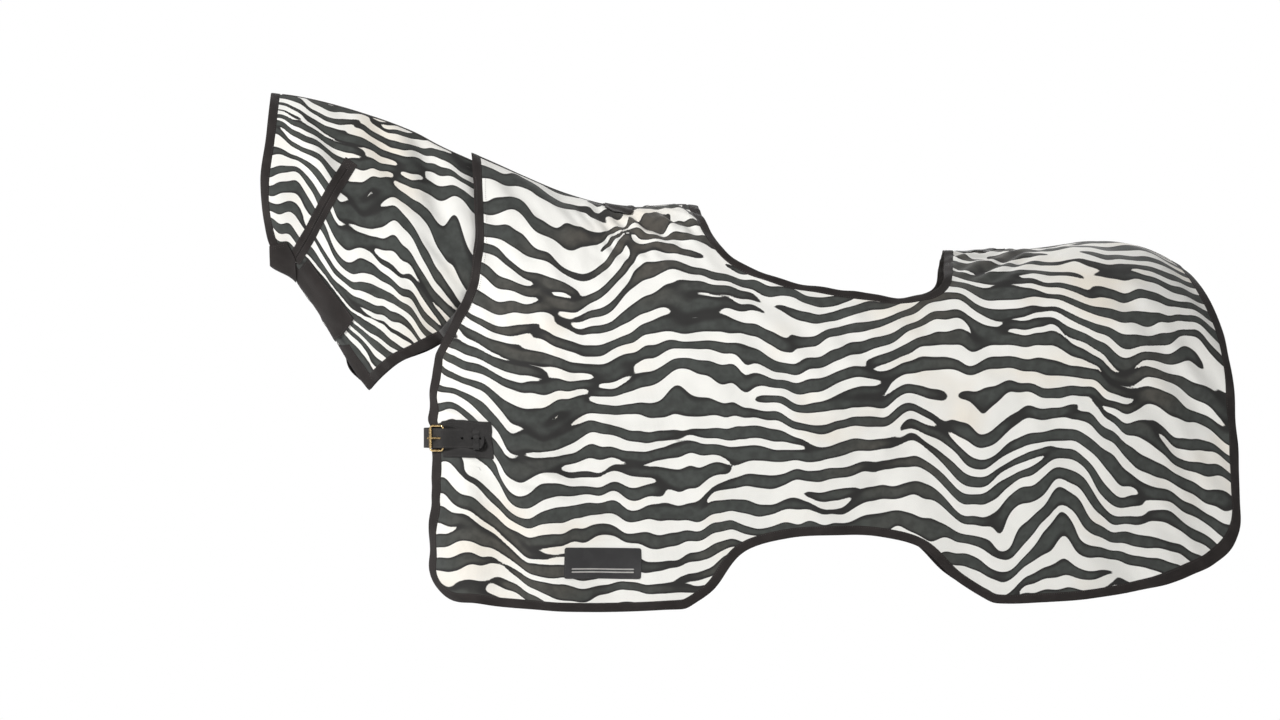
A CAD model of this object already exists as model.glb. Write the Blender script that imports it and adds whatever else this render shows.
"""Looks of the mesh riding fly rug and its neck cover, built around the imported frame.

Every soft piece lies on one of two forms, the rug's and the neck cover's. A form is a grid over X and
over the distance down the cloth from the topline, so a flat cut in those two is the cloth's own cut.
"""

import math

import bpy
import numpy as np
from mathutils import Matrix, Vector, geometry, kdtree


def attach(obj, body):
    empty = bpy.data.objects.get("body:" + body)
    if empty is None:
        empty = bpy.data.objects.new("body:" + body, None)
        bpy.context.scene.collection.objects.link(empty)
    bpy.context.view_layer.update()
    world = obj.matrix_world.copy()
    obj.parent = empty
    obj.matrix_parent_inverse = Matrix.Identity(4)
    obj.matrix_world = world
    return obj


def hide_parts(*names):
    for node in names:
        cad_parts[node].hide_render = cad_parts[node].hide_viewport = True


# --- The frame's own measures, in millimetres ---

MM = 0.001
NECKLINE = [(-344, 122), (-335, 30), (-330, -70), (-341, -155), (-380, -238), (-413, -290)]
CHEST_EDGE = [(-413, -290), (-420, -400), (-416, -540), (-423, -700)]
FRONT_CORNER = [(-423, -700), (-418, -752), (-388, -784), (-330, -796)]
FRONT_HEM = [(-330, -796), (-160, -806), (20, -803), (96, -797)]
BELLY_ARCH = [(96, -797), (142, -768), (212, -682), (300, -655), (390, -649), (480, -652), (556, -672),
              (630, -742), (704, -788)]
REAR_HEM = [(704, -788), (900, -779), (1070, -744), (1140, -716)]
REAR_CORNER = [(1140, -716), (1184, -676), (1200, -600)]
REAR_EDGE = [(1200, -600), (1196, -500), (1183, -330), (1168, -245), (1130, -165), (1086, -105)]
SADDLE_EDGE = [(112, 60), (113, 14), (132, -30), (172, -88), (250, -132), (350, -153), (460, -170),
               (556, -176), (604, -160), (616, -112), (617, -40)]
RUG_BOTTOM = -880
RUG_SECTIONS = [
    (-450, 160, 64, 540, 1.15), (-425, 149, 84, 540, 1.15), (-400, 138, 112, 540, 1.15),
    (-375, 128, 134, 535, 1.15), (-345, 116, 154, 530, 1.17), (-300, 96, 178, 505, 1.2),
    (-240, 68, 200, 470, 1.25), (-150, 30, 222, 420, 1.35), (-40, 2, 240, 385, 1.5),
    (100, 6, 262, 370, 1.65), (250, -30, 288, 360, 1.8), (420, -66, 304, 345, 1.95),
    (620, -90, 304, 310, 2.1), (800, -84, 299, 290, 2.2), (930, -70, 288, 285, 2.2),
    (1030, -84, 268, 280, 2.2), (1120, -132, 240, 250, 2.1), (1220, -200, 212, 240, 2.0),
]

POLL_EDGE = [(-748, 262), (-757, 150), (-768, 50), (-765, -30), (-750, -82), (-712, -124), (-694, -160)]
NECK_TIP = (-556, -378)
LOWER_EDGE = [NECK_TIP, (-520, -338), (-490, -314), (-452, -297), (-418, -281), (-392, -268)]
TUCK_EDGE = [(-392, -268), (-350, -216), (-312, -150), (-298, -70), (-302, 30), (-309, 110)]
SLIT_TOP = (-584, 94)
SLIT_FOOT = (-712, -122)
NECK_SECTIONS = [
    (-790, 243, -60, 90, 68, 2.0, 0.77), (-760, 237, -110, 60, 80, 2.0, 0.77),
    (-700, 229, -152, 30, 87, 2.0, 0.77), (-650, 219, -222, 0, 91, 1.9, 0.8),
    (-600, 206, -306, -40, 97, 1.8, 0.83), (-550, 191, -378, -80, 105, 1.65, 0.88),
    (-500, 174, -425, -110, 113, 1.5, 0.92), (-450, 153, -450, -130, 118, 1.38, 0.97),
    (-415, 134, -455, -140, 118, 1.3, 1.0), (-380, 117, -455, -145, 117, 1.3, 1.0),
    (-340, 99, -455, -150, 114, 1.3, 1.0), (-290, 72, -455, -150, 108, 1.3, 1.0),
]
GULLET_EDGE = [(-694, -128), (-672, -104), (-640, -150), (-580, -226), (-604, -260), (-622, -288)]
THROAT_TAB = [(-752, -78), (-716, -70), (-699, -104), (-698, -150)]

STRAP_Z = -468
HEEL_BAR = (-398.2, -122.8)
ROLLER_BAR = (-423.9, -100.5)
FORWARD = (-0.724, 0.690)
OUTWARD = (-0.690, -0.724)

# --- The looks' own measures, in metres ---

GRID = 0.004
PANEL_SPACING = 0.0054
CLOTH = 0.0009
BINDING = 0.018
RIDGE_SOFTNESS = 0.007
THREAD_RADIUS = 0.00042

LEFT, RIGHT = 1, -1
SIDES = {"left": LEFT, "right": RIGHT}

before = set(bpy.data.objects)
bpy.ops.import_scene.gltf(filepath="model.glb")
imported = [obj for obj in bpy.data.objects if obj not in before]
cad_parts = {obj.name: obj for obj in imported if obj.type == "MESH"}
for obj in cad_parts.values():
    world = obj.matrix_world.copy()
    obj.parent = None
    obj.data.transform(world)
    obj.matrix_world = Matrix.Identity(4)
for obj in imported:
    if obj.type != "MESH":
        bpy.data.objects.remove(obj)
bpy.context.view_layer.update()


# --- Forms ---


def smooth_curve(knots, values, slopes, places):
    """Values between knots, on a smooth curve with the given slopes."""
    i = np.clip(np.searchsorted(knots, places) - 1, 0, len(knots) - 2)
    width = (knots[i + 1] - knots[i])[:, None]
    t = (places - knots[i])[:, None] / width
    start = (2 * t**3 - 3 * t**2 + 1) * values[i] + (t**3 - 2 * t**2 + t) * width * slopes[i]
    end = (3 * t**2 - 2 * t**3) * values[i + 1] + (t**3 - t**2) * width * slopes[i + 1]
    return start + end


def distances(path):
    """The distance along a path from its start to each point."""
    return np.concatenate([[0], np.cumsum(np.linalg.norm(np.diff(path, axis=0), axis=1))])


def bell(size, spacing, reach):
    """Smoothing weights for neighbours a spacing apart."""
    weights = np.exp(-0.5 * (np.arange(-reach, reach + 1) * spacing / size) ** 2)
    return weights / weights.sum()


def grid_mix(values, i, j, s, t):
    """Values between a grid's corners. i and j hold the lower and upper indices, s and t the shares."""
    low = values[i[0], j[0]] * (1 - t) + values[i[0], j[1]] * t
    high = values[i[1], j[0]] * (1 - t) + values[i[1], j[1]] * t
    return low * (1 - s) + high * s


def grid_quads(index):
    """The squares between the points of a grid of vertex numbers."""
    corners = [index[:-1, :-1], index[:-1, 1:], index[1:, 1:], index[1:, :-1]]
    return np.stack(corners, axis=-1).reshape(-1, 4)


def smooth_step(value, low, high):
    """0 below low, 1 above high, and smooth between."""
    t = np.clip((value - low) / (high - low), 0, 1)
    return t * t * (3 - 2 * t)


def rug_section(row):
    """Half width and height down one side of the rug."""
    top, width, drop, roundness = row[1:]
    depth = np.linspace(0, 1, 200) ** 2
    y = width * (1 - (1 - depth) ** 2) ** (1 / roundness)
    z = top - drop * depth
    low = np.linspace(top - drop, RUG_BOTTOM, 60)[1:]
    low_y = width * (1 - 0.05 * (top - drop - low) / drop)
    return np.concatenate([y, low_y]), np.concatenate([z, low])


def neck_section(row):
    """Half width and height from the crest round to the middle of the underside."""
    crest, under, widest, width, power, sharpness = row[1:]
    step = np.linspace(0, 1, 160) ** 2
    y = width * (1 - (1 - step) ** power) ** sharpness
    z = crest + (widest - crest) * step
    low = (1 - np.linspace(1, 0, 160) ** 2)[1:]
    low_y = width * (1 - low**1.6) ** 0.8
    low_z = widest + (under - widest) * low
    return np.concatenate([y, low_y]), np.concatenate([z, low_z])


def softened(values, softness):
    """Values smoothed along their second axis."""
    reach = int(3 * softness / GRID)
    padded = np.pad(values, ((0, 0), (reach, reach)), mode="edge")
    weights = bell(softness, GRID, reach)
    return sum(w * padded[:, k:k + values.shape[1]] for k, w in enumerate(weights))


class Form:
    """A cloth surface over X and c, the distance down the cloth from the topline: c > 0 on the left."""

    def __init__(self, table, section, reach):
        self.x = np.arange(table[0][0] * MM, table[-1][0] * MM, GRID)
        self.c = np.arange(-reach, reach + GRID / 2, GRID)
        rows = np.array(table, float)
        rows = smooth_curve(rows[:, 0], rows, np.gradient(rows, rows[:, 0], axis=0), self.x / MM)
        y = np.zeros((len(self.x), len(self.c)))
        z = np.zeros_like(y)
        self.ends = np.zeros(len(self.x))
        for i, row in enumerate(rows):
            half_y, half_z = section(row)
            arc = distances(np.stack([half_y, half_z], axis=1)) * MM
            self.ends[i] = arc[-1]
            ring_y = np.concatenate([half_y, -half_y[-2::-1]])
            ring_z = np.concatenate([half_z, half_z[-2::-1]])
            ring_arc = np.concatenate([arc, 2 * arc[-1] - arc[-2::-1]])
            y[i] = -np.sign(self.c) * np.interp(abs(self.c), ring_arc, ring_y) * MM
            z[i] = np.interp(abs(self.c), ring_arc, ring_z) * MM
        x = np.repeat(self.x[:, None], len(self.c), axis=1)
        self.base = np.stack([x, softened(y, RIDGE_SOFTNESS), softened(z, RIDGE_SOFTNESS)], axis=2)
        self.surface = self.base
        self.find_normals()

    def find_normals(self):
        along = np.gradient(self.surface, axis=0)
        down = np.gradient(self.surface, axis=1)
        normal = np.cross(down, along)
        self.normal = normal / np.maximum(np.linalg.norm(normal, axis=2, keepdims=True), 1e-12)

    def fold(self, lift):
        """Moves the cloth off its smooth form by lift, a grid of distances."""
        self.surface = self.surface + self.normal * lift[..., None]
        self.find_normals()

    def between(self, values, x, c):
        """Grid values at points between the grid's own."""
        i = (np.asarray(x, float) - self.x[0]) / GRID
        j = (np.asarray(c, float) - self.c[0]) / GRID
        i0 = np.clip(np.floor(i).astype(int), 0, len(self.x) - 2)
        j0 = np.clip(np.floor(j).astype(int), 0, len(self.c) - 2)
        s, t = i - i0, j - j0
        if values.ndim == 3:
            s, t = s[..., None], t[..., None]
        return grid_mix(values, (i0, i0 + 1), (j0, j0 + 1), s, t)

    def at(self, x, c, lift=0.0):
        """Points on the cloth, lifted off it."""
        lift = np.broadcast_to(lift, np.shape(x))[..., None]
        return self.between(self.surface, x, c) + self.between(self.normal, x, c) * lift

    def end(self, x):
        """The distance down to the middle of the underside."""
        return np.interp(x, self.x, self.ends)

    def down(self, x, z):
        """The distance down the left side to a height."""
        half = self.c >= 0
        found = []
        for one_x, one_z in zip(np.atleast_1d(x), np.atleast_1d(z)):
            c = self.c[half]
            column = self.between(self.base[..., 2], np.full(len(c), one_x), c)
            stop = max(np.searchsorted(c, self.end(one_x)), 2)
            found.append(np.interp(-one_z, -column[:stop], c[:stop]))
        return np.array(found)


rug = Form(RUG_SECTIONS, rug_section, 1.16)
neck = Form(NECK_SECTIONS, neck_section, 0.84)


# --- Flat cuts ---


def curve_through(points, spacing=0.002):
    """A smooth run through points, divided evenly."""
    p = np.array(points, float)
    if len(p) == 2:
        return np.linspace(p[0], p[1], max(2, int(np.linalg.norm(p[1] - p[0]) / spacing)))
    chord = distances(p)
    places = np.linspace(0, chord[-1], max(3, int(chord[-1] / spacing)))
    return smooth_curve(chord, p, np.gradient(p, chord, axis=0, edge_order=2), places)


def evenly(path, spacing):
    """A path divided into equal steps."""
    arc = distances(path)
    s = np.linspace(0, arc[-1], max(2, round(arc[-1] / spacing) + 1))
    return np.stack([np.interp(s, arc, path[:, k]) for k in range(2)], axis=1)


def flat_run(form, points):
    """A side-view run as a path down the cloth. What lies above the topline is left out."""
    path = curve_through(np.array(points) * MM)
    c = form.down(path[:, 0], path[:, 1])
    flat = np.stack([path[:, 0], c], axis=1)
    inside = (c > 0.001) & (c < form.end(path[:, 0]) - 0.0005)
    first, last = np.argmax(inside), len(inside) - np.argmax(inside[::-1])
    return flat[max(first - 1, 0):last + 1]


def rounded(path, spacing, radius):
    """A path divided evenly, with its corners rounded and its ends kept."""
    even = evenly(path, spacing)
    reach = int(2.5 * radius / spacing)
    weights = bell(radius, spacing, reach)
    before = 2 * even[0] - even[1:reach + 1][::-1]
    after = 2 * even[-1] - even[-reach - 1:-1][::-1]
    padded = np.concatenate([before, even, after])
    return np.stack([np.convolve(padded[:, k], weights, mode="valid") for k in range(2)], axis=1)


def is_inside(points, loop):
    """Whether each flat point is inside a closed loop."""
    x, y = points[:, 0], points[:, 1]
    inside = np.zeros(len(points), bool)
    for (x0, y0), (x1, y1) in zip(loop, np.roll(loop, -1, axis=0)):
        if y0 == y1:
            continue
        crosses = (y0 > y) != (y1 > y)
        inside ^= crosses & (x < (x1 - x0) * (y - y0) / (y1 - y0) + x0)
    return inside


def in_cut(points, loops):
    """Whether each flat point is in the first loop and in none of the others."""
    inside = is_inside(points, loops[0])
    for hole in loops[1:]:
        inside &= ~is_inside(points, hole)
    return inside


def filled(loops, spacing):
    """Flat points and triangles that fill the first loop, less the others."""
    edges, border = [], []
    for loop in loops:
        first, count = len(border), len(loop)
        border += [tuple(p) for p in loop]
        edges += [(first + k, first + (k + 1) % count) for k in range(count)]
    tree = kdtree.KDTree(len(border))
    for k, (x, y) in enumerate(border):
        tree.insert((x, y, 0), k)
    tree.balance()
    low, high = np.min(border, axis=0), np.max(border, axis=0)
    inner = []
    for k, y in enumerate(np.arange(low[1], high[1], spacing * math.sqrt(3) / 2)):
        x = np.arange(low[0] + (k % 2) * spacing / 2, high[0], spacing)
        inner.append(np.stack([x, np.full(len(x), y)], axis=1))
    inner = np.concatenate(inner)
    inner = [p for p in inner[in_cut(inner, loops)] if tree.find((p[0], p[1], 0))[2] > 0.55 * spacing]
    points = [Vector(p) for p in border + inner]
    made = geometry.delaunay_2d_cdt(points, edges, [], 0, 1e-7)
    flat = np.array([tuple(p) for p in made[0]])
    triangles = np.array([f for f in made[2] if len(f) == 3])
    triangles = triangles[in_cut(flat[triangles].mean(axis=1), loops)]
    a, b, c = (flat[triangles[:, k]] for k in range(3))
    turn = np.cross(b - a, c - a)
    triangles[turn > 0] = triangles[turn > 0][:, ::-1]
    return flat, triangles[abs(turn) > 1e-10]


# --- Meshes ---


def make_object(name, vertices, faces, materials=(), uv=None, face_materials=()):
    """An object from arrays. uv is one flat point for each vertex."""
    mesh = bpy.data.meshes.new(name)
    mesh.from_pydata(np.asarray(vertices).tolist(), [], [list(map(int, f)) for f in faces])
    for material in materials:
        mesh.materials.append(material)
    if materials:
        mesh.polygons.foreach_set("material_index", np.asarray(face_materials, np.int32))
        corner = np.zeros(len(mesh.loops), np.int32)
        mesh.loops.foreach_get("vertex_index", corner)
        layer = mesh.uv_layers.new(name="UVMap")
        layer.data.foreach_set("uv", np.asarray(uv)[corner].astype(np.float32).ravel())
    mesh.shade_smooth()
    mesh.set_sharp_from_angle(angle=math.radians(50))
    obj = bpy.data.objects.new(name, mesh)
    bpy.context.scene.collection.objects.link(obj)
    return obj


def shell(form, flat, triangles, side, lift, thickness):
    """A closed sheet on the form: vertices, faces, uv and 1 for each face of the back."""
    x, c = flat[:, 0], flat[:, 1] * side
    outer = form.at(x, c, lift + thickness)
    inner = form.at(x, c, lift)
    count = len(flat)
    front = triangles if side == LEFT else triangles[:, ::-1]
    back = front[:, ::-1] + count
    pairs = np.concatenate([front[:, [0, 1]], front[:, [1, 2]], front[:, [2, 0]]])
    key = {tuple(p) for p in pairs.tolist()}
    rim = [(b, a, a + count, b + count) for a, b in key if (b, a) not in key]
    faces = [*front.tolist(), *back.tolist(), *rim]
    back_flags = [0] * len(front) + [1] * len(back) + [0] * len(rim)
    uv = np.concatenate([np.stack([x, c], axis=1)] * 2)
    return np.concatenate([outer, inner]), faces, uv, back_flags


def beside(path):
    """For each point of a path, the flat direction square to it, inwards on a cut's outline."""
    way = np.gradient(path, axis=0)
    way /= np.linalg.norm(way, axis=1, keepdims=True)
    return np.stack([way[:, 1], -way[:, 0]], axis=1)


def ribbon(form, path, profile, side, toward=1):
    """A closed tape along a path. Its profile is (distance in from the path, lift) points."""
    shape = np.array(profile)
    inward = beside(path) * toward
    flat = path[:, None, :] + inward[:, None, :] * shape[None, :, :1]
    lift = np.repeat(shape[None, :, 1], len(path), axis=0)
    points = form.at(flat[..., 0], flat[..., 1] * side, lift)
    rings, around = lift.shape
    number = np.arange(rings * around).reshape(rings, around)
    number = np.concatenate([number, number[:, :1]], axis=1)
    ends = [number[0, :-1][::-1], number[-1, :-1]]
    faces = [*grid_quads(number), *ends]
    if side * toward < 0:
        faces = [face[::-1] for face in faces]
    uv = np.stack(np.broadcast_arrays(distances(path)[:, None], distances(shape)[None, :]), axis=2)
    return points.reshape(-1, 3), faces, uv.reshape(-1, 2)


def stitches(form, path, inset, lift, side, toward=1, pitch=0.0046, length=0.0034):
    """A row of sewing stitches beside a path, each a slim eight-sided bead."""
    radius = THREAD_RADIUS
    line = path + beside(path) * toward * inset
    arc = distances(line)
    centres = np.arange(pitch, arc[-1] - pitch / 2, pitch)
    if len(centres) == 0:
        return np.zeros((0, 3)), [], np.zeros((0, 2))

    def on_cloth(s, rise):
        x = np.interp(s, arc, line[:, 0])
        c = np.interp(s, arc, line[:, 1])
        return form.at(x, c * side, rise)

    tail = on_cloth(centres - length / 2, lift - radius)
    head = on_cloth(centres + length / 2, lift - radius)
    top = on_cloth(centres, lift + radius)
    foot = on_cloth(centres, lift - radius)
    way = head - tail
    way /= np.linalg.norm(way, axis=1, keepdims=True)
    across = np.cross(way, top - foot)
    across *= radius * 1.2 / np.linalg.norm(across, axis=1, keepdims=True)
    middle = (top + foot) / 2
    vertices = np.stack([tail, head, top, middle + across, foot, middle - across], axis=1).reshape(-1, 3)
    pattern = [(0, 3, 2), (0, 4, 3), (0, 5, 4), (0, 2, 5), (1, 2, 3), (1, 3, 4), (1, 4, 5), (1, 5, 2)]
    faces = [tuple(6 * k + v for v in f) for k in range(len(centres)) for f in pattern]
    return vertices, faces, np.zeros((len(vertices), 2))


def joined(parts):
    """Several (vertices, faces, uv) sets as one, and the number of each face's set."""
    faces, kinds = [], []
    count = 0
    for kind, (vertices, part_faces, _) in enumerate(parts):
        faces += [[v + count for v in f] for f in part_faces]
        kinds += [kind] * len(part_faces)
        count += len(vertices)
    points, _, uv = zip(*parts)
    return np.concatenate(points), faces, np.concatenate(uv), kinds


def stand_for(obj, body, node, slot):
    """Puts a piece on its body in place of a CAD node."""
    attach(obj, body)
    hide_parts(node)


def make_piece(name, parts, materials, body, node, slot):
    """One piece from (vertices, faces, uv) sets with a material each. The last material serves the rest."""
    vertices, faces, uv, kinds = joined(parts)
    last = len(materials) - 1
    obj = make_object(name, vertices, faces, materials, uv, [min(kind, last) for kind in kinds])
    stand_for(obj, body, node, slot)


# --- Materials ---


class Nodes:
    """A material's node tree, with short ways to add to it."""

    def __init__(self, name, roughness, **constants):
        self.material = bpy.data.materials.new(name)
        self.material.use_nodes = True
        self.tree = self.material.node_tree
        self.shader = self.tree.nodes["Principled BSDF"]
        self.shader.inputs["Roughness"].default_value = roughness
        for socket, value in constants.items():
            self.shader.inputs[socket.replace("_", " ")].default_value = value

    def add(self, kind, **inputs):
        node = self.tree.nodes.new(kind)
        for socket, value in inputs.items():
            self.feed(node, socket.replace("_", " "), value)
        return node

    def feed(self, node, socket, value):
        by_number = socket[0] == "i" and socket[1:].isdigit()
        target = node.inputs[int(socket[1:]) if by_number else socket]
        if hasattr(value, "is_output"):
            self.tree.links.new(value, target)
        else:
            target.default_value = value

    def math(self, operation, a, b=0.0, c=0.0):
        node = self.add("ShaderNodeMath", i0=a, i1=b, i2=c)
        node.operation = operation
        return node.outputs[0]

    def mix(self, factor, a, b):
        node = self.tree.nodes.new("ShaderNodeMix")
        node.data_type = "RGBA"
        for socket, value in (("i0", factor), ("i6", a), ("i7", b)):
            self.feed(node, socket, value)
        return node.outputs[2]

    def ramp(self, value, low, high, to_low=0.0, to_high=1.0):
        node = self.add("ShaderNodeMapRange", Value=value, From_Min=low, From_Max=high,
                        To_Min=to_low, To_Max=to_high)
        node.interpolation_type = "SMOOTHSTEP"
        return node.outputs[0]

    def noise(self, scale, detail):
        place = self.add("ShaderNodeTexCoord").outputs["Object"]
        return self.add("ShaderNodeTexNoise", Scale=scale, Detail=detail, Vector=place).outputs[0]

    def uv(self):
        split = self.add("ShaderNodeSeparateXYZ", Vector=self.add("ShaderNodeTexCoord").outputs["UV"])
        return split.outputs[0], split.outputs[1]

    def wave(self, value, pitch):
        """A sine from 0 to 1 that repeats each pitch metres."""
        turned = self.math("MULTIPLY", value, 2 * math.pi / pitch)
        return self.math("MULTIPLY_ADD", self.math("SINE", turned), 0.5, 0.5)

    def attribute(self, name):
        node = self.add("ShaderNodeAttribute")
        node.attribute_name = name
        return node.outputs["Fac"]

    def bump(self, height, distance, strength):
        node = self.add("ShaderNodeBump", Height=height, Distance=distance, Strength=strength)
        self.tree.links.new(node.outputs[0], self.shader.inputs["Normal"])

    def colour(self, value):
        self.feed(self.shader, "Base Color", value)

    def fade_to_white(self, start, end):
        """Glows white past a distance from the middle, so that the rim is lost in the background."""
        length = self.add("ShaderNodeVectorMath", i0=self.add("ShaderNodeTexCoord").outputs["Object"])
        length.operation = "LENGTH"
        self.shader.inputs["Emission Color"].default_value = (1, 1, 1, 1)
        self.feed(self.shader, "Emission Strength", self.ramp(length.outputs["Value"], start, end))


WHITE = (0.86, 0.85, 0.81, 1)
CREAM = (0.82, 0.72, 0.58, 1)
CHARCOAL = (0.045, 0.051, 0.046, 1)
WARM_CHARCOAL = (0.078, 0.066, 0.052, 1)
INK = (0.008, 0.0075, 0.007, 1)


def mesh_cloth(name, show_through):
    """Printed mesh: a zebra print from the mesh's own attribute, over a knitted mesh of fine holes."""
    m = Nodes(name, 0.82, Sheen_Weight=0.12, Sheen_Roughness=0.5)
    print_value = m.attribute("print")
    dark = m.ramp(print_value, -0.035, 0.035)
    deep = m.ramp(print_value, 0.22, 1.0)
    cream = m.ramp(m.noise(5.0, 2.0), 0.50, 0.75)
    ground = m.mix(m.math("MULTIPLY", cream, 0.55), WHITE, CREAM)
    fleck = m.ramp(m.noise(60.0, 4.0), 0.3, 0.7)
    warm = m.ramp(m.noise(2.2, 2.0), 0.48, 0.66)
    ink_tone = m.mix(m.math("MULTIPLY", warm, 0.8), CHARCOAL, WARM_CHARCOAL)
    ink_body = m.mix(m.math("MULTIPLY", fleck, 0.45), ink_tone, INK)
    ink = m.mix(deep, INK, ink_body)
    across, down = m.uv()
    pitch = 0.0021
    hole = m.math("MULTIPLY", m.wave(across, pitch), m.wave(down, pitch))
    inked = m.mix(dark, ground, ink)
    if show_through < 1:
        inked = m.mix(show_through, ground, inked)
    shaded = m.mix(m.math("MULTIPLY", hole, 0.42), inked, (0.02, 0.017, 0.014, 1))
    m.colour(shaded)
    m.bump(m.math("SUBTRACT", 1.0, hole), 0.0005, 0.55)
    return m.material


def tape_cloth(name, colour, rib, roughness=0.78, fuzz=0.0004):
    """Woven tape or webbing with ribs across its length."""
    m = Nodes(name, roughness, Sheen_Weight=0.08, Sheen_Roughness=0.45, Specular_IOR_Level=0.35)
    along, across = m.uv()
    ribs = m.wave(along, rib)
    threads = m.wave(across, rib * 1.4)
    worn = m.ramp(m.noise(28.0, 5.0), 0.35, 0.75)
    light = tuple(min(1.0, 1.9 * v + 0.01) for v in colour[:3]) + (1,)
    dusty = m.mix(m.math("MULTIPLY", worn, 0.5), colour, light)
    dark = tuple(0.45 * v for v in colour[:3]) + (1,)
    m.colour(m.mix(m.math("MULTIPLY", m.math("SUBTRACT", 1.0, ribs), 0.55), dusty, dark))
    height = m.math("MULTIPLY_ADD", threads, 0.35, ribs)
    height = m.math("MULTIPLY_ADD", m.noise(900.0, 2.0), 0.6, height)
    m.bump(height, fuzz, 0.7)
    return m.material


def hook_cloth():
    """Hook-and-loop tape: a dense dull pile."""
    m = Nodes("hook_and_loop", 0.92, Sheen_Weight=0.4, Sheen_Roughness=0.7)
    pile = m.noise(1400.0, 3.0)
    m.colour(m.mix(m.ramp(pile, 0.3, 0.7), (0.010, 0.009, 0.0085, 1), (0.045, 0.041, 0.038, 1)))
    m.bump(pile, 0.0009, 0.9)
    return m.material


def thread():
    m = Nodes("sewing_thread", 0.6, Sheen_Weight=0.2)
    m.colour(m.mix(m.ramp(m.noise(300.0, 2.0), 0.3, 0.7), (0.022, 0.019, 0.018, 1), (0.06, 0.053, 0.05, 1)))
    m.bump(m.noise(4000.0, 2.0), 0.0002, 0.5)
    return m.material


def brass():
    """Cast brass, polished on top and duller in the hollows."""
    m = Nodes("brass", 0.28, Metallic=1.0)
    tarnish = m.ramp(m.noise(90.0, 6.0), 0.40, 0.75)
    m.colour(m.mix(m.math("MULTIPLY", tarnish, 0.7), (0.86, 0.62, 0.30, 1), (0.42, 0.27, 0.12, 1)))
    m.feed(m.shader, "Roughness", m.ramp(m.noise(240.0, 6.0), 0.3, 0.8, 0.18, 0.46))
    m.bump(m.noise(700.0, 4.0), 0.00012, 0.35)
    return m.material


CLOTH_FRONT = mesh_cloth("mesh_cloth", 1.0)
CLOTH_BACK = mesh_cloth("mesh_cloth_back", 0.62)
TAPE = tape_cloth("binding_tape", (0.014, 0.0098, 0.0088, 1), 0.0013)
WEB = tape_cloth("webbing", (0.012, 0.0105, 0.010, 1), 0.0019, 0.62, 0.0006)
LABEL = tape_cloth("label_weave", (0.024, 0.023, 0.024, 1), 0.0007, 0.55, 0.0002)
LABEL_BAND = tape_cloth("label_band", (0.42, 0.41, 0.39, 1), 0.0007, 0.55, 0.0002)
HOOK = hook_cloth()
THREAD = thread()
BRASS = brass()


# --- Zebra print ---

PRINT_STEP = 0.004
PRINT_CELLS = (512, 768)    # across the stripes, along them
STRIPE_PERIOD = 0.045


def spectrum():
    along = np.fft.fftfreq(PRINT_CELLS[1], PRINT_STEP)[None, :]
    across = np.fft.fftfreq(PRINT_CELLS[0], PRINT_STEP)[:, None]
    return along, across


def white_noise(seed, shape):
    return np.random.default_rng(seed).standard_normal(shape)


def filtered(noise, keep):
    """Noise with only some of its frequencies, 1 in standard deviation."""
    waves = np.fft.ifft2(np.fft.fft2(noise) * keep).real
    return waves / waves.std()


def random_waves(seed, along_size, across_size):
    """Smooth random values that change over the given lengths."""
    along, across = spectrum()
    noise = white_noise(seed, PRINT_CELLS)
    return filtered(noise, np.exp(-((along * along_size) ** 2 + (across * across_size) ** 2) * 6))


def stripe_field(seed):
    """Long stripes that fork, merge and taper, above 0 where they are dark."""
    along, across = spectrum()
    frequency = 1 / STRIPE_PERIOD
    band = np.exp(-(((abs(across) - frequency) / (0.26 * frequency)) ** 2) / 2)
    band = band * np.exp(-((along / (0.30 * frequency)) ** 2) / 2)
    field = white_noise(seed, PRINT_CELLS)
    for _ in range(2):
        field = np.tanh(0.9 * filtered(field, band))
    return filtered(field, band)


def wrapped(values, along, across):
    """Values at points, repeated past the print's edges."""
    i, j = across / PRINT_STEP, along / PRINT_STEP
    i0, j0 = np.floor(i).astype(int), np.floor(j).astype(int)
    rows, columns = PRINT_CELLS
    return grid_mix(values, (i0 % rows, (i0 + 1) % rows), (j0 % columns, (j0 + 1) % columns), i - i0, j - j0)


STRIPES = stripe_field(12)
LONG_WAVES = random_waves(21, 0.12, 0.26)
SHORT_WAVES = random_waves(22, 0.06, 0.09)
JAGS = random_waves(24, 0.022, 0.05)
WEIGHT = random_waves(23, 0.08, 0.035)


def zebra(along, across):
    """The print's value at flat points: above 0 is dark."""
    moved = across + 0.025 * wrapped(LONG_WAVES, along, across) + 0.012 * wrapped(SHORT_WAVES, along, across)
    moved = moved + 0.0035 * wrapped(JAGS, along, across)
    return wrapped(STRIPES, along, moved) + 0.10 + 0.34 * wrapped(WEIGHT, along, across)


# --- Folds ---


def near(form, x, c, x_reach, c_reach):
    """1 at a flat place, falling smoothly to 0 with distance."""
    away = ((form.x[:, None] - x) / x_reach) ** 2 + ((abs(form.c[None, :]) - c) / c_reach) ** 2
    return np.exp(-away)


def creases(form, seed, pitch, degrees):
    """Irregular creases a pitch apart. Their run is at an angle from X."""
    slant = math.radians(degrees)
    along = np.fft.fftfreq(len(form.x), GRID)[:, None]
    down = np.fft.fftfreq(len(form.c), GRID)[None, :]
    across_run = -along * math.sin(slant) + down * math.cos(slant)
    beside_run = along * math.cos(slant) + down * math.sin(slant)
    band = np.exp(-(((abs(across_run) - 1 / pitch) * pitch / 0.35) ** 2) / 2)
    band = band * np.exp(-((beside_run * pitch / 0.35) ** 2) / 2)
    return filtered(white_noise(seed, (len(form.x), len(form.c))), band)


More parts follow.
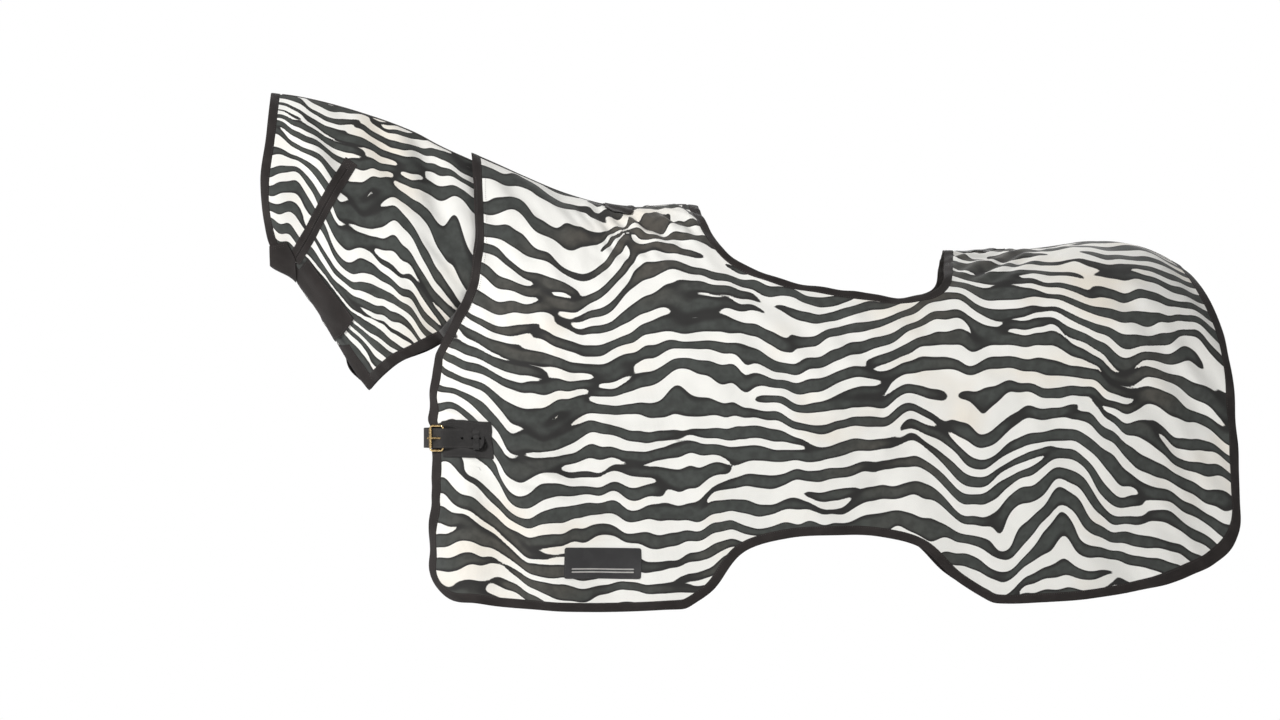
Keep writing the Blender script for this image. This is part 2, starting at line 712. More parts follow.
# Creases in places: height, seed, pitch, degrees, and the place in X and c with its reach in each.
RUG_CREASES = [
    (0.0014, 36, 0.07, -28, (0.42, 0.20, 0.34, 0.20)),
    (0.0046, 33, 0.036, 55, (0.02, 0.09, 0.12, 0.10)),
    (0.0034, 34, 0.040, -50, (0.70, 0.08, 0.11, 0.10)),
    (0.0026, 35, 0.05, 12, (-0.26, 0.62, 0.20, 0.12)),
    (0.0022, 37, 0.065, 62, (-0.24, 0.34, 0.13, 0.22)),
]
NECK_CREASES = [(0.0022, 42, 0.055, 35, (-0.47, 0.38, 0.16, 0.18))]


def fold(form, lift, places):
    """Creases a form's cloth all over by lift and in places, but not along the topline."""
    for height, seed, pitch, degrees, place in places:
        lift = lift + height * near(form, *place) * creases(form, seed, pitch, degrees)
    form.fold(lift * smooth_step(abs(form.c[None, :]), 0.0, 0.03))


# --- The rug's cut ---

RUG_RUNS = [NECKLINE, CHEST_EDGE, FRONT_CORNER, FRONT_HEM, BELLY_ARCH, REAR_HEM, REAR_CORNER, REAR_EDGE]
EDGE_RADIUS = 0.007
EDGE_STEP = 0.0035


def from_topline(runs, radius):
    """Flat runs as one path with rounded corners, its two ends brought on to the topline."""
    path = np.concatenate([run[:-1] for run in runs[:-1]] + [runs[-1]])
    path[[0, -1], 1] = 0.0
    return rounded(path, EDGE_STEP, radius)


rug_edge = from_topline([flat_run(rug, run) for run in RUG_RUNS], EDGE_RADIUS)
saddle_edge = from_topline([flat_run(rug, SADDLE_EDGE)], EDGE_RADIUS)


def without_repeats(loop, spacing):
    kept = [loop[0]]
    for p in loop[1:]:
        if np.linalg.norm(p - kept[-1]) > 0.3 * spacing:
            kept.append(p)
    if np.linalg.norm(kept[0] - kept[-1]) < 0.3 * spacing:
        kept.pop()
    return np.array(kept)


def straight(start, end, spacing):
    count = max(2, round(np.linalg.norm(np.subtract(end, start)) / spacing) + 1)
    return np.linspace(start, end, count)


def rug_panel_loop():
    """The left panel's flat outline: round the edge, then along the topline and the saddle cut-out."""
    edge = evenly(rug_edge, PANEL_SPACING)
    cut_out = evenly(saddle_edge, PANEL_SPACING)[::-1]
    rear = straight(edge[-1], cut_out[0], PANEL_SPACING)
    front = straight(cut_out[-1], edge[0], PANEL_SPACING)
    return without_repeats(np.concatenate([edge, rear, cut_out, front]), PANEL_SPACING)


SIM_STEP = 0.013
SIM_FRAMES = 26
MOST_DRAPE = 0.012
STRAP_REACH = 0.025
CLOTH_SETTINGS = {
    "quality": 6, "mass": 0.12, "air_damping": 3, "tension_stiffness": 12, "compression_stiffness": 12,
    "shear_stiffness": 6, "bending_stiffness": 1.2, "vertex_group_mass": "held", "shrink_min": -0.016,
}


def sim_body():
    """A hidden body just under the rug, narrower than it below the widest level."""
    points = rug.base - rug.normal * 0.004
    height_below = np.clip(-0.36 - points[..., 2], 0, None)
    points[..., 1] *= 1 - 0.35 * np.clip(height_below, 0, 0.4)
    points = points[::3, ::3]
    rows, columns = points.shape[:2]
    quads = grid_quads(np.arange(rows * columns).reshape(rows, columns))
    body = make_object("sim_body", points.reshape(-1, 3), quads)
    body.modifiers.new("collision", "COLLISION")
    body.collision.thickness_outer = 0.003
    body.collision.cloth_friction = 12
    return body


def filled_outwards(values, known):
    """A grid with its unknown cells filled from their known neighbours."""
    values = np.where(known[..., None], values, 0.0)
    weight = known.astype(float)
    for _ in range(60):
        if weight.min() > 0:
            break
        total, count = np.zeros_like(values), np.zeros_like(weight)
        for axis in (0, 1):
            for step in (-1, 1):
                total += np.roll(values * weight[..., None], step, axis=axis)
                count += np.roll(weight, step, axis=axis)
        new = (weight == 0) & (count > 0)
        values[new] = total[new] / count[new][:, None]
        weight[new] = 1
    return values


def smoothed(values, passes):
    for _ in range(passes):
        for axis in (0, 1):
            places = np.arange(values.shape[axis])
            before = values.take(np.maximum(places - 1, 0), axis)
            after = values.take(np.minimum(places + 1, places[-1]), axis)
            values = (before + 2 * values + after) / 4
    return values


def hung(cloth, start):
    """Lets a cloth hang on the hidden body, and gives how far each point moved."""
    body = sim_body()
    modifier = cloth.modifiers.new("cloth", "CLOTH")
    for setting, value in CLOTH_SETTINGS.items():
        setattr(modifier.settings, setting, value)
    modifier.collision_settings.distance_min = 0.002
    scene = bpy.context.scene
    for number in range(1, SIM_FRAMES + 1):
        scene.frame_set(number)
    end = cloth.evaluated_get(bpy.context.evaluated_depsgraph_get()).to_mesh()
    moved = np.zeros(len(start) * 3)
    end.vertices.foreach_get("co", moved)
    scene.frame_set(1)
    for obj in (cloth, body):
        bpy.data.objects.remove(obj)
    return moved.reshape(-1, 3) - start


def drape_rug():
    """Lets the rug hang, and keeps how far each part of the cloth moved."""
    x = np.arange(rug.x[0] + 0.02, rug.x[-1], SIM_STEP)
    c = np.arange(0, 1.0, SIM_STEP)
    c = np.concatenate([-c[:0:-1], c])
    flat = np.stack(np.meshgrid(x, c, indexing="ij"), axis=-1).reshape(-1, 2)
    inside = is_inside(np.stack([flat[:, 0], abs(flat[:, 1]) + 1e-4], axis=1), rug_panel_loop())
    number = np.full(len(flat), -1)
    number[inside] = np.arange(inside.sum())
    quads = grid_quads(number.reshape(len(x), len(c)))
    quads = quads[(quads >= 0).all(axis=1)]
    start = rug.at(flat[inside, 0], flat[inside, 1])
    cloth = make_object("sim_cloth", start, quads)
    held = cloth.vertex_groups.new(name="held")
    at_strap = (abs(start[:, 2] - STRAP_Z * MM) < STRAP_REACH) & (flat[inside, 0] < -0.33)
    weight = np.maximum(smooth_step(abs(flat[inside, 1]), 0.09, 0.02), at_strap)
    for k in np.nonzero(weight > 0.01)[0]:
        held.add([int(k)], float(weight[k]), "REPLACE")
    shift = hung(cloth, start)
    distance = np.linalg.norm(shift, axis=1, keepdims=True)
    shift *= MOST_DRAPE * np.tanh(distance / MOST_DRAPE) / np.maximum(distance, 1e-9)
    field = np.zeros((len(flat), 3))
    field[inside] = shift
    field = filled_outwards(field.reshape(len(x), len(c), 3), inside.reshape(len(x), len(c)))
    return x, c, smoothed(field, 1)


def apply_drape(x, c, field):
    """Moves the rug's cloth by a coarser grid of shifts."""
    i = np.clip((rug.x - x[0]) / SIM_STEP, 0, len(x) - 1.001)[:, None]
    j = np.clip((rug.c - c[0]) / SIM_STEP, 0, len(c) - 1.001)[None, :]
    i0, j0 = i.astype(int), j.astype(int)
    s, t = smooth_step((i - i0)[..., None], 0, 1), smooth_step((j - j0)[..., None], 0, 1)
    shift = grid_mix(field, (i0, i0 + 1), (j0, j0 + 1), s, t)
    rug.surface = rug.surface + smoothed(shift, 3)
    rug.find_normals()


apply_drape(*drape_rug())
loose = smooth_step(abs(rug.c[None, :]), 0.35, 0.95)
fold(rug, 0.0040 * loose * creases(rug, 31, 0.24, 84) + 0.0016 * creases(rug, 32, 0.10, 40), RUG_CREASES)
fold(neck, 0.0018 * creases(neck, 41, 0.10, 65), NECK_CREASES)


def rug_print(flat, side):
    """The print, rumpled where the cloth bunches before and behind the saddle."""
    x, c = flat[:, 0], flat[:, 1]
    rumpled = np.exp(-(((x - 0.02) / 0.10) ** 2) - ((c - 0.07) / 0.09) ** 2)
    rumpled += 0.8 * np.exp(-(((x - 0.70) / 0.09) ** 2) - ((c - 0.06) / 0.08) ** 2)
    along = x + 0.030 * rumpled * wrapped(SHORT_WAVES, 2.3 * x, 2.3 * c)
    across = c + 0.016 * rumpled * wrapped(WEIGHT, 1.9 * x + 0.4, 1.9 * c)
    return zebra(along + 1.5, across + (0.0 if side == LEFT else 1.1))


def panels(cloth, form, loops, spacing, print_of, body, node):
    """Makes a cloth's two panels with their print, and gives each with the name of its side."""
    flat, triangles = filled(loops, spacing)
    for name, side in SIDES.items():
        vertices, faces, uv, back = shell(form, flat, triangles, side, -CLOTH / 2, CLOTH)
        panel = make_object(f"{cloth}_{name}", vertices, faces, [CLOTH_FRONT, CLOTH_BACK], uv, back)
        attribute = panel.data.attributes.new("print", "FLOAT", "POINT")
        attribute.data.foreach_set("value", np.tile(print_of(flat, side), 2).astype(np.float32))
        stand_for(panel, body, f"{node}_{name}", "mesh_cloth")
        yield name, panel


def make_rug_panels():
    loops = [rug_panel_loop()]
    for name, panel in panels("rug_cloth", rug, loops, PANEL_SPACING, rug_print, "rug", "rug_panel"):
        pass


# --- Bindings ---

TAPE_RISE = 0.0011
GULLET_TAPE = 0.033
GULLET_TAPE_BENDS = (0.2, 0.33, 0.46, 0.59, 0.72, 0.84)


def binding_profile(width=BINDING, middles=(0.55,)):
    """A tape folded over the cloth's edge, seen from its end: (in from the edge, lift) points.

    The middles are shares of the width with a point of their own, so that a wide tape can bend.
    """
    rise = TAPE_RISE
    over = [(width, 0.0003), (width - 0.0006, rise * 0.8), (width - 0.0025, rise)]
    over += [(width * share, rise * 1.12) for share in sorted(middles, reverse=True)]
    over += [(0.0022, rise), (0.0002, rise * 0.75)]
    under = [(inward, -lift) for inward, lift in reversed(over)]
    return [*over, (-0.0007, 0.0), *under]


def part_of(path, start, end):
    """The part of a path between two side-view points."""
    begin = np.argmin(np.linalg.norm(path - start, axis=1))
    stop = np.argmin(np.linalg.norm(path - end, axis=1))
    return path[begin:stop + 1]


def flat_point(form, point):
    x, z = point[0] * MM, point[1] * MM
    return np.array([x, form.down(x, z)[0]])


def sewn_tape(name, form, path, side, body, node, toward=1, profile=None, rows=(0.0155,), slot="binding_tape",
              lift=TAPE_RISE, material=TAPE):
    """A tape with rows of stitches on both its faces."""
    parts = [ribbon(form, path, profile or binding_profile(), side, toward)]
    parts += [stitches(form, path, inset, rise, side, toward) for rise in (lift, -lift) for inset in rows]
    make_piece(name, parts, [material, THREAD], body, node, slot)


def make_rug_bindings():
    marks = {
        "neckline_binding": (NECKLINE[0], (-413, -288)),
        "chest_edge_binding": ((-413, -288), (-421, -740)),
        "front_hem_binding": ((-421, -740), (100, -796)),
        "belly_arch_binding": ((100, -796), (700, -786)),
        "rear_hem_binding": ((700, -786), (1150, -708)),
        "rear_edge_binding": ((1150, -708), REAR_EDGE[-1]),
    }
    for node, (start, end) in marks.items():
        path = part_of(rug_edge, flat_point(rug, start), flat_point(rug, end))
        for name, side in SIDES.items():
            sewn_tape(f"{node}_tape_{name}", rug, path, side, "rug", f"{node}_{name}")
    for name, side in SIDES.items():
        sewn_tape(f"saddle_opening_tape_{name}", rug, saddle_edge, side, "rug",
                  f"saddle_opening_binding_{name}", toward=-1)


def seam_tape(name, form, x_start, x_end, half_width, body, node):
    """A tape sewn flat over and under a seam on the topline."""
    w = half_width
    rise = TAPE_RISE
    over = [(w, 0.0002), (w - 0.0012, rise), (0, rise * 1.15), (0.0012 - w, rise), (-w, 0.0002)]
    profile = over + [(inward, -lift) for inward, lift in reversed(over)]
    path = straight((x_start, 0.0), (x_end, 0.0), EDGE_STEP)
    sewn_tape(name, form, path, LEFT, body, node, profile=profile, rows=(w - 0.0025, 0.0025 - w))


def make_topline_tapes():
    wither_edge = straight((0.094, 0.0003), (-0.340, 0.0003), EDGE_STEP)[::-1]
    for name, side in SIDES.items():
        sewn_tape(f"wither_edge_{name}", rug, wither_edge, side, "rug", f"wither_edge_tape_{name}", toward=-1,
                  profile=binding_profile(0.009), rows=(0.0065,))
    seam_tape("croup_seam", rug, 0.635, 1.078, 0.009, "rug", "croup_seam_tape")
    seam_tape("crest_seam", neck, -0.728, -0.335, 0.007, "neck_cover", "crest_seam_tape")


# --- Sewn-on patches ---


def closed(runs, step=0.003):
    """Flat runs joined into one loop, divided evenly."""
    loop = np.concatenate([*runs, runs[0][:1]])
    return without_repeats(evenly(loop, step), step)


def flat_box(x_low, x_high, c_low, c_high, corner, step=0.003):
    """A flat rectangle with round corners, as a closed loop."""
    x, c = np.array([x_low, x_high]), np.array([c_low, c_high])
    x, c = x + [corner, -corner], c + [corner, -corner]
    centres = np.array([(x[1], c[1]), (x[0], c[1]), (x[0], c[0]), (x[1], c[0])])
    turns = np.radians(np.array([0, 90, 180, 270])[:, None] + [0, 30, 60, 90])
    corners = centres[:, None] + corner * np.stack([np.cos(turns), np.sin(turns)], axis=-1)
    return closed([corners.reshape(-1, 2)], step)


def inset_loop(loop, distance):
    """A closed convex loop moved in."""
    middle = (loop.min(axis=0) + loop.max(axis=0)) / 2
    half = (loop.max(axis=0) - loop.min(axis=0)) / 2
    moved = middle + (loop - middle) * (1 - distance / half)
    return np.concatenate([moved, moved[:1]])


def slab(form, loops, side, lift, thickness, spacing=0.003):
    """A flat cut laid on the form, as (vertices, faces, uv)."""
    return shell(form, *filled(loops, spacing), side, lift, thickness)[:3]


def patch(name, form, loop, side, lift, thickness, material, body, node, slot, seams=()):
    """A flat patch with sewn lines."""
    parts = [slab(form, [loop], side, lift, thickness)]
    parts += [stitches(form, seam, 0.0, lift + thickness, side) for seam in seams]
    make_piece(name, parts, [material, THREAD], body, node, slot)


def laid_level(form, loop):
    """A shape drawn in the side view, with heights for its second values, as it lies on the cloth."""
    return np.stack([loop[:, 0], form.down(loop[:, 0], loop[:, 1])], axis=1)


def make_rug_patches():
    chest_x = (-0.395, -0.292)
    chest_z = (-0.506, -0.430)
    box = flat_box(*chest_x, *chest_z, 0.003)
    loop = laid_level(rug, box)
    seams = [laid_level(rug, inset_loop(box, 0.004))]
    seams += [laid_level(rug, straight((x, chest_z[0] + 0.005), (x, chest_z[1] - 0.005), EDGE_STEP))
              for x in (chest_x[0] + 0.016, chest_x[1] - 0.012, chest_x[1] - 0.020)]
    for name, side in SIDES.items():
        patch(f"chest_reinforcement_{name}", rug, loop, side, 0.0006, 0.0014, WEB, "rug",
              f"chest_patch_{name}", "webbing", seams)

    back = flat_box(0.622, 0.742, -0.036, 0.036, 0.006)
    patch("back_reinforcement", rug, back, LEFT, 0.0012, 0.0014, WEB, "rug", "back_patch", "webbing",
          [inset_loop(back, 0.004), inset_loop(back, 0.008)])

    wither_loop = flat_box(-0.076, -0.010, 0.0, 0.041, 0.003)
    patch("wither_loop_tape", rug, wither_loop, RIGHT, 0.0012, 0.0009, HOOK, "rug", "wither_loop_patch",
          "hook_and_loop", [inset_loop(wither_loop, 0.003)])

    tab = flat_box(-0.072, -0.014, -0.036, 0.046, 0.008)
    sewn_end = inset_loop(flat_box(-0.072, -0.014, 0.022, 0.046, 0.002), 0.003)
    patch("wither_closing_tab", rug, tab, LEFT, 0.0025, 0.0015, TAPE, "wither_tab", "wither_tab",
          "hook_and_loop", [inset_loop(tab, 0.003), sewn_end])


LABEL_X = (-0.144, 0.008)
LABEL_Z = (-0.740, -0.678)


def smooth_lap(form, x, half_width):
    """How far round from the middle of the underside the cloth is a half width out from the middle plane."""
    found = []
    for one_x, end in zip(np.atleast_1d(x), np.atleast_1d(form.end(x))):
        c = np.linspace(end - 0.08, end, 161)
        y = abs(form.between(form.base[..., 1], np.full(len(c), one_x), c))
        found.append(end - np.interp(-half_width, -y, c))
    return np.array(found)


def make_label():
    """A plain woven patch: a border and two thin pale bands, with no lettering."""
    box = flat_box(*LABEL_X, *LABEL_Z, 0.004)
    ground = slab(rug, [laid_level(rug, box)], LEFT, 0.0006, 0.0008)
    bands = []
    for band_z in (LABEL_Z[0] + 0.012, LABEL_Z[0] + 0.018):
        band = flat_box(LABEL_X[0] + 0.014, LABEL_X[1] - 0.014, band_z, band_z + 0.0026, 0.0008)
        bands.append(slab(rug, [laid_level(rug, band)], LEFT, 0.0012, 0.0004))
    border = stitches(rug, laid_level(rug, inset_loop(box, 0.0022)), 0.0, 0.0015, LEFT, pitch=0.0026,
                      length=0.0022)
    make_piece("woven_label", [ground, joined(bands)[:3], border], [LABEL, LABEL_BAND, THREAD], "rug",
               "label_patch", "label_weave")


def make_fastening_loops():
    """The loop tapes inside the neckline, which the neck cover's hook tape presses on."""
    middle = [(x + 14, z + 3) for x, z in NECKLINE]
    path = part_of(rounded(flat_run(rug, middle), EDGE_STEP, EDGE_RADIUS), flat_point(rug, (-318, 60)),
                   flat_point(rug, (-392, -276)))
    w = 0.0115
    profile = [(w, -0.0024), (-w, -0.0024), (-w, -0.0036), (w, -0.0036)]
    for name, side in SIDES.items():
        sewn_tape(f"neckline_loop_tape_{name}", rug, path, side, "rug", f"neck_fastening_loop_{name}",
                  profile=profile, rows=(w - 0.002, 0.002 - w), slot="hook_and_loop", lift=-0.0034,
                  material=HOOK)


# --- Chest closure ---


class Track:
    """The face of an upright band. x is the distance along its plan route, c the distance down it."""

    def __init__(self, route, middle_z):
        self.path = evenly(curve_through(route, 0.0005), 0.0005)
        self.arc = np.arange(len(self.path)) * np.linalg.norm(self.path[1] - self.path[0])
        way = np.gradient(self.path, axis=0)
        way /= np.linalg.norm(way, axis=1, keepdims=True)
        self.outward = np.stack([way[:, 1], -way[:, 0]], axis=1)
        self.middle_z = middle_z

    def at(self, x, c, lift=0.0):
        plan = [np.interp(x, self.arc, self.path[:, k]) + np.interp(x, self.arc, self.outward[:, k]) * lift
                for k in range(2)]
        return np.stack([*plan, self.middle_z - np.broadcast_to(c, np.shape(x))], axis=-1)

    def along(self, point):
        """The distance along the route to the place nearest a plan point."""
        return self.arc[np.argmin(np.linalg.norm(self.path - point, axis=1))]


def chest_point(x, out, side=LEFT):
    """A plan point off the rug's chest at the strap's height, in metres."""
    c = rug.down(x * MM, STRAP_Z * MM)[0] * side
    return rug.at(x * MM, c, out * MM)[:2]


def circle(x, c, radius):
    angles = np.arange(20) * 2 * math.pi / 20
    return np.stack([x + radius * np.cos(angles), c + radius * np.sin(angles)], axis=1)


def band_loop(start, end, half_width, point):
    """A flat band's outline with a blunt rounded point at its far end."""
    half = [(start, half_width), (end - point, half_width), (end - 0.3 * point, 0.62 * half_width), (end, 0)]
    return closed([np.array([(x, -c) for x, c in half] + half[-2::-1])])


HEEL = np.array(HEEL_BAR) * MM
ROLLER = np.array(ROLLER_BAR) * MM
STRAP_HALF_WIDTH = 0.020


def make_strap():
    over_heel = HEEL + np.array(OUTWARD) * 4.8 * MM
    under_roller = ROLLER - np.array(OUTWARD) * 4.5 * MM
    route = [chest_point(x, out, RIGHT) for x, out in ((-318, 3.4), (-345, 3.4), (-375, 3.4), (-400, 3.7),
                                                       (-420, 4.4))]
    route += [np.array(p) * MM for p in ((-436, 56), (-438, 0), (-436, -56))]
    route += [under_roller, (under_roller + over_heel) / 2, over_heel]
    route += [chest_point(x, out) for x, out in ((-368, 8.0), (-336, 6.4), (-306, 6.2))]
    track = Track(np.array(route), STRAP_Z * MM)
    heel = track.along(over_heel)
    end = track.arc[-1]
    holes = [circle(track.along(chest_point(x, 6)), 0, 0.0026) for x in (-318, -338, -358)]
    slot = flat_box(heel - 0.0175, heel - 0.001, -0.0025, 0.0025, 0.0015, 0.0015)
    outline = band_loop(0, end, STRAP_HALF_WIDTH, 0.010)
    edges = [straight((0.004, c), (end - 0.014, c), EDGE_STEP) for c in (-0.0165, 0.0165)]
    sewn_box = inset_loop(flat_box(0.002, 0.036, -0.018, 0.018, 0.001), 0.003)
    parts = [slab(track, [outline, slot, *holes], LEFT, -0.0008, 0.0016)]
    parts += [stitches(track, line, 0.0, 0.0008, LEFT) for line in (*edges, sewn_box)]
    make_piece("chest_strap_webbing", parts, [WEB, THREAD], "rug", "chest_strap", "webbing")


def make_chape():
    """The webbing that holds the buckle, folded round the heel bar and open in the middle for the prong."""
    radius = 2.8 * MM
    turns = np.radians(np.arange(200, -1, -20))
    forward, outward = np.array(FORWARD), np.array(OUTWARD)
    route = [HEEL + radius * (forward * math.sin(a) - outward * math.cos(a)) for a in turns]
    route += [chest_point(-374, 2.7), chest_point(-348, 2.7)]
    track = Track(np.array(route), STRAP_Z * MM)
    end = track.arc[-1]
    half_width = 0.019
    prong_gap = flat_box(0.0012, radius * math.radians(200) + 0.003, -0.0026, 0.0026, 0.001, 0.0012)
    outline = flat_box(0, end, -half_width, half_width, 0.0008, 0.0015)
    box = flat_box(end - 0.030, end - 0.002, 0.002 - half_width, half_width - 0.002, 0.0006)
    sewn_box = stitches(track, np.concatenate([box, box[:1]]), 0.0, 0.0006, LEFT)
    webbing = slab(track, [outline, prong_gap], LEFT, -0.0005, 0.0010, 0.0018)
    make_piece("chape_webbing", [webbing, sewn_box], [WEB, THREAD], "rug", "buckle_chape", "webbing")


KEEPER_SIZE = (0.0033, 0.0227)    # half its depth and half its height
KEEPER_HALF_LENGTH = 0.007
KEEPER_THICKNESS = 0.0010


def make_keeper():
    """A loop of webbing round the strap: four rings of points, joined into a flat band."""
    centre = np.array([*chest_point(-328, 6.3), STRAP_Z * MM])
    along = np.append(chest_point(-330, 6.3) - chest_point(-326, 6.3), 0)
    along /= np.linalg.norm(along)
    outward = np.array([-along[1], along[0], 0])
    turns = np.arange(40) * 2 * math.pi / 40
    outline = np.stack([np.copysign(abs(v) ** 0.35, v) for v in (np.cos(turns), np.sin(turns))], axis=1)
    rings = []
    for size, ends in ((np.array(KEEPER_SIZE), (-1, 1)), (np.array(KEEPER_SIZE) - KEEPER_THICKNESS, (1, -1))):
        ring = outline * size
        round_strap = centre + ring[:, :1] * outward + ring[:, 1:] * np.array([0, 0, 1])
        rings += [round_strap + along * end * KEEPER_HALF_LENGTH for end in ends]
    number = np.arange(4 * 40).reshape(4, 40)
    number = np.pad(number, ((0, 1), (0, 1)), mode="wrap")
    around = turns / (2 * math.pi) * 4 * sum(KEEPER_SIZE)
    uv = np.concatenate([np.stack([around, np.full(40, v)], axis=1) for v in (0, 0.014, 0.014, 0)])
    band = (np.concatenate(rings), grid_quads(number), uv)
    make_piece("keeper_webbing", [band], [WEB], "rug", "strap_keeper", "webbing")


def make_buckle():
    for node in ("chest_buckle_frame", "chest_buckle_roller", "chest_buckle_prong"):
        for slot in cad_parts[node].material_slots:
            slot.material = BRASS


# --- Neck cover ---

GULLET_X = (-0.690, -0.616)


def underside(x):
    return np.stack([x, neck.end(x)], axis=1)


neck_edge = from_topline([flat_run(neck, POLL_EDGE), underside(np.arange(-0.692, -0.558, 0.002)),
                          flat_run(neck, LOWER_EDGE), flat_run(neck, TUCK_EDGE)], EDGE_RADIUS * 0.7)


def slit_line(start, end):
    """Points along the rein slit between two shares of its length."""
    foot, top = flat_point(neck, SLIT_FOOT), flat_point(neck, SLIT_TOP)
    return straight(foot + (top - foot) * start, foot + (top - foot) * end, EDGE_STEP)


def band_round(line, half_width, step):
    """A closed loop round a straight line."""
    side_step = beside(line) * half_width
    return closed([line + side_step, (line - side_step)[::-1]], step)


def neck_print(flat, side):
    """The print follows the crest, and slopes down to the rear lower on the neck."""
    x, c = flat[:, 0], flat[:, 1]
    slope = 0.42 * smooth_step(c, 0.05, 0.40)
    across = c - slope * (x + 0.75)
    finer = 1.4
    return zebra(finer * x + 2.1, finer * across + (0.31 if side == LEFT else 1.47))


def make_neck_panels():
    edge = evenly(neck_edge, PANEL_SPACING)
    top = straight(edge[-1], edge[0], PANEL_SPACING)
    outline = without_repeats(np.concatenate([edge, top]), PANEL_SPACING)
    slit = band_round(slit_line(0.10, 0.93), 0.0011, 0.003)
    for _, panel in panels("neck_cloth", neck, [outline, slit], PANEL_SPACING * 0.8, neck_print, "neck_cover",
                           "neck_panel"):
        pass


def make_neck_bindings():
    throat, strip_foot, tip = underside(np.array([-0.694, -0.617, -0.556]))
    tuck_corner = flat_point(neck, (-394, -269))
    tuck_top = flat_point(neck, (-302, 60))
    marks = {"poll_edge_binding": (neck_edge[0], throat), "gullet_edge_binding": (strip_foot, tip),
             "lower_edge_binding": (tip, tuck_corner)}
    wide = {"profile": binding_profile(GULLET_TAPE, GULLET_TAPE_BENDS),
            "rows": (GULLET_TAPE - 0.0025,)}
    for node, (start, end) in marks.items():
        shape = wide if node == "gullet_edge_binding" else {}
        for name, side in SIDES.items():
            sewn_tape(f"{node}_tape_{name}", neck, part_of(neck_edge, start, end), side, "neck_cover",
                      f"{node}_{name}", **shape)
    tuck = part_of(neck_edge, tuck_corner, tuck_top)
    for name, side in SIDES.items():
        sewn_tape(f"tucked_hook_tape_{name}", neck, tuck, side, "neck_cover", f"neck_fastening_hook_{name}",
                  rows=(0.003, 0.0155), slot="hook_and_loop", material=HOOK)


def make_rein_slits():
    """Two tapes side by side along the slit for the rein, joined at the top."""
    outline = band_round(slit_line(0.075, 1.0), 0.013, 0.003)
    slit = band_round(slit_line(0.10, 0.93), 0.0006, 0.003)
    rows = [band_round(slit_line(0.08, 0.99), 0.0110, EDGE_STEP),
            band_round(slit_line(0.09, 0.94), 0.0025, EDGE_STEP)]
    low, high = slit_line(0.945, 0.946)[0], slit_line(0.985, 0.986)[0]
    rows += [straight(low + [dx, dx / 2], high - [dx, 0], EDGE_STEP) for dx in (-0.008, 0.008)]
    for name, side in SIDES.items():
        parts = [slab(neck, [outline, slit], side, -0.0010, 0.0021)]
        parts += [stitches(neck, row, 0.0, 0.0011, side) for row in rows]
        make_piece(f"rein_slit_tape_{name}", parts, [TAPE, THREAD], "neck_cover", f"rein_slit_binding_{name}",
                   "binding_tape")


def make_gullet_closing():
    """The strip that closes the neck cover under the gullet, over its loop tape on the right."""
    left_edge = np.array([flat_point(neck, corner) for corner in GULLET_EDGE])
    x = np.linspace(GULLET_X[1], GULLET_X[0], 24)
    lap = smooth_lap(neck, x, 0.026) * np.clip(np.linspace(0.25, 6, 24), 0, 1)
    right_edge = np.stack([x, neck.end(x) + lap], axis=1)
    strip = closed([left_edge, right_edge])
    seam = evenly(left_edge, EDGE_STEP)
    patch("gullet_closing_strip", neck, strip, LEFT, 0.0016, 0.0014, TAPE, "gullet_strip",
          "gullet_hook_strip", "hook_and_loop", [seam - beside(seam) * 0.003])

    inner = np.stack([x[::-1], neck.end(x[::-1]) - 0.001], axis=1)
    outer = np.stack([x, neck.end(x) - lap * 0.95 - 0.001], axis=1)
    patch("gullet_loop_tape", neck, closed([inner, outer]), RIGHT, 0.0005, 0.0008, HOOK, "neck_cover",
          "gullet_loop_strip", "hook_and_loop")


def make_throat_tab():
    corners = np.array([flat_point(neck, corner) for corner in THROAT_TAB])
    x = np.linspace(-0.701, -0.744, 12)
    lap_height = neck.down(x, np.full(len(x), -0.114))
    right_edge = np.stack([x, 2 * neck.end(x) - np.minimum(lap_height, neck.end(x))], axis=1)
    tab = closed([corners, right_edge, [(-0.751, neck.end(-0.751))]])
    hinge = straight(corners[0], corners[1], EDGE_STEP)
    patch("throat_closing_tab", neck, tab, LEFT, 0.0016, 0.0014, TAPE, "throat_tab", "throat_tab",
          "hook_and_loop", [hinge + [0, 0.004], hinge + [0, 0.009]])


make_rug_panels()
make_rug_bindings()
make_topline_tapes()
make_rug_patches()
make_label()
make_fastening_loops()
make_strap()
make_chape()
make_keeper()
make_buckle()
make_neck_panels()
make_neck_bindings()
make_rein_slits()
make_gullet_closing()
make_throat_tab()


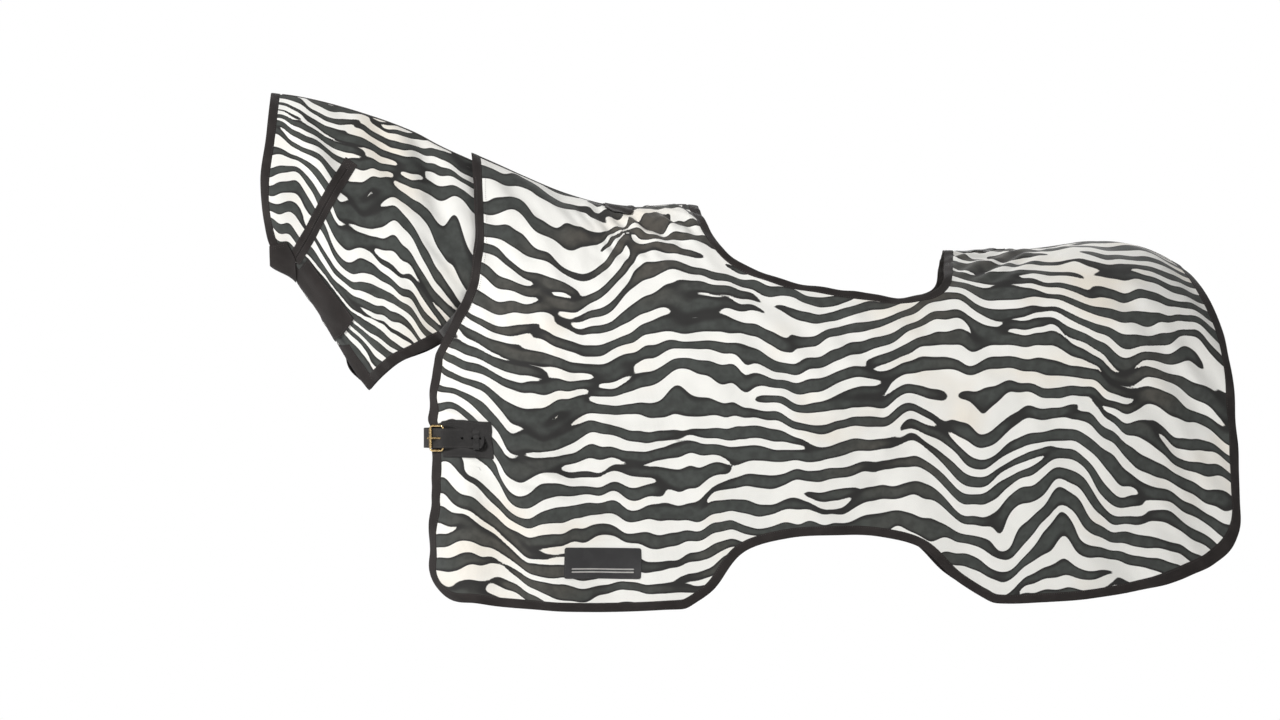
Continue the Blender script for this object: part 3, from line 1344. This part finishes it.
# --- Stage ---


def make_stage():
    scene = bpy.context.scene
    scene.view_settings.view_transform = "Standard"
    camera = bpy.data.objects.new("camera", bpy.data.cameras.new("camera"))
    scene.collection.objects.link(camera)
    distance = 16.0
    view_width = 2.56
    near_side = -0.28
    camera.location = (0, near_side - distance, -0.31)
    camera.rotation_euler = (math.radians(90), 0, 0)
    camera.data.sensor_width = 36
    camera.data.lens = 36 * distance / view_width
    camera.data.clip_end = 100
    scene.camera = camera

    world = bpy.data.worlds.new("studio")
    scene.world = world
    world.use_nodes = True
    nodes, links = world.node_tree.nodes, world.node_tree.links
    background = nodes["Background"]
    background.inputs["Color"].default_value = (1, 1, 1, 1)
    path = nodes.new("ShaderNodeLightPath")
    strength = nodes.new("ShaderNodeMapRange")
    strength.inputs["To Min"].default_value = 0.20
    strength.inputs["To Max"].default_value = 1.0
    links.new(path.outputs["Is Camera Ray"], strength.inputs["Value"])
    links.new(strength.outputs[0], background.inputs["Strength"])

    def soft_light(name, place, aim, size, power):
        light = bpy.data.lights.new(name, "AREA")
        light.size = size
        light.energy = power
        lamp = bpy.data.objects.new(name, light)
        lamp.location = place
        lamp.rotation_euler = (Vector(aim) - Vector(place)).to_track_quat("-Z", "Y").to_euler()
        scene.collection.objects.link(lamp)

    middle = (0.2, 0, -0.3)
    soft_light("key", (-4.6, -3.0, 3.2), middle, 1.0, 400)
    soft_light("fill", (3.6, -5.0, 0.6), middle, 3.0, 100)
    soft_light("back", (1.0, 4.5, 3.0), middle, 3.0, 150)

    bpy.ops.mesh.primitive_circle_add(vertices=96, radius=5, fill_type="NGON", location=(0.2, 0, -1.5))
    floor = bpy.context.object
    floor.name = "floor"
    pale = Nodes("pale_floor", 0.7)
    mottle = pale.ramp(pale.noise(1.5, 2.0), 0.3, 0.7)
    pale.colour(pale.mix(mottle, (0.80, 0.80, 0.79, 1), (0.84, 0.84, 0.83, 1)))
    pale.fade_to_white(1.5, 4.6)
    floor.data.materials.append(pale.material)


make_stage()
